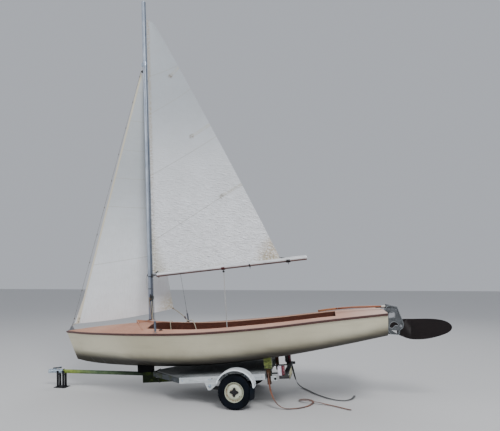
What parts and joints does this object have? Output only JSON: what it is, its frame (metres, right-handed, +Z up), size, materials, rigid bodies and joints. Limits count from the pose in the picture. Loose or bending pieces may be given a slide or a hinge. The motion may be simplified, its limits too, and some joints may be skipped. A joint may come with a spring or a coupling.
{
  "type": "sailing dinghy on its road trailer",
  "caption": "Open wooden sailing dinghy, rigged with mainsail and jib, with hinged rudder and swinging boom, standing on the small road trailer that carries it.",
  "frame": {"origin": "on the floor, under the middle of the bounding box of boat and trailer without the loose straps", "axes": "+X towards the bow and the coupling, +Y to port, +Z up"},
  "size_m": [6.2702, 1.8166, 6.6757],
  "materials": {
    "hull_paint": "aged cream paint",
    "strake_varnish": "dark worn varnish",
    "deck_paint": "faded pinkish brown paint",
    "mahogany": "dark varnished plywood",
    "board_wood": "bare slats",
    "mast_alloy": "anodised, dulled",
    "boom_alloy": "bright",
    "stainless": "dull stainless",
    "dark_fitting": "black moulded fittings",
    "sailcloth": "crisp polyester sailcloth",
    "rudder_casting": "grey cast aluminium",
    "blade_varnish": "dark varnished plywood",
    "tiller_wood": "varnished hardwood",
    "white_paint": "chalky white paint",
    "grey_boards": "weathered grey plywood",
    "green_paint": "mossy green paint with rust",
    "black_steel": "black paint",
    "galvanised": "dull zinc",
    "keel_rubber": "black rubber",
    "rim_paint": "cream paint",
    "tyre_rubber": "black rubber",
    "flap_rubber": "dark sheet rubber",
    "lamp_lens": "red and white lens",
    "plate_sheet": "plain sheet",
    "pad_cloth": "folded yellow-green cloth",
    "brown_webbing": "rust brown webbing",
    "black_webbing": "black webbing"
  },
  "bodies": {
    "root": {"hull_shell": "hull_paint", "transom": "hull_paint", "rubbing_strakes": "strake_varnish", "aft_deck": "deck_paint", "foredeck": "deck_paint", "side_decks": "deck_paint", "splash_board": "deck_paint", "bulkheads": "mahogany", "cockpit_sides": "mahogany", "centreboard_case": "mahogany", "thwart": "mahogany", "mast_post": "mahogany", "bottom_boards": "board_wood", "floor_bearers": "board_wood", "centreboard": "board_wood", "mast": "mast_alloy", "mast_fittings": "mast_alloy", "stays": "stainless", "rigging_screws": "stainless", "chainplates": "stainless", "gooseneck": "stainless", "rudder_gudgeons": "stainless", "mast_step": "dark_fitting", "sheet_fittings": "dark_fitting", "jib": "sailcloth", "side_rails": "white_paint", "suspension_brackets": "white_paint", "mudguards": "white_paint", "lamp_bar": "white_paint", "trailer_deck": "grey_boards", "drawbar": "green_paint", "keel_post": "green_paint", "bilge_posts": "green_paint", "trailer_spine": "green_paint", "crossmembers": "green_paint", "suspension": "black_steel", "nose_legs": "black_steel", "coupling": "galvanised", "keel_block": "keel_rubber", "mudflaps": "flap_rubber", "tail_lamps": "lamp_lens", "number_plate": "plate_sheet", "bilge_pads": "pad_cloth", "strap_port": "brown_webbing", "strap_starboard": "black_webbing"},
    "wheel_port": {"wheel_port": "rim_paint", "tyre_port": "tyre_rubber"},
    "wheel_starboard": {"wheel_starboard": "rim_paint", "tyre_starboard": "tyre_rubber"},
    "boom": {"boom": "boom_alloy", "boom_fittings": "dark_fitting", "mainsail": "sailcloth"},
    "rudder": {"rudder_stock": "rudder_casting", "tiller": "tiller_wood"},
    "rudder_blade": {"rudder_blade": "blade_varnish"}
  },
  "joints": [
    {"name": "wheel_port_spin", "type": "hinge", "parent": "root", "child": "wheel_port", "pos_m": [-0.14705, 0.712, 0.23], "axis": [0, 1, 0], "continuous": true},
    {"name": "wheel_starboard_spin", "type": "hinge", "parent": "root", "child": "wheel_starboard", "pos_m": [-0.14705, -0.712, 0.23], "axis": [0, 1, 0], "continuous": true},
    {"name": "boom_swing", "type": "hinge", "parent": "root", "child": "boom", "pos_m": [1.36045, 0, 1.7965], "axis": [0.0618, 0, 0.9981], "range_deg": [-60, 60]},
    {"name": "rudder_turn", "type": "hinge", "parent": "root", "child": "rudder", "pos_m": [-2.23268, 0, 0.9174], "axis": [0.0192, 0, 0.9998], "range_deg": [-40, 40]},
    {"name": "blade_lower", "type": "hinge", "parent": "rudder", "child": "rudder_blade", "pos_m": [-2.43684, 0, 1.06735], "axis": [0, 1, 0], "range_deg": [-85, 0]}
  ]
}
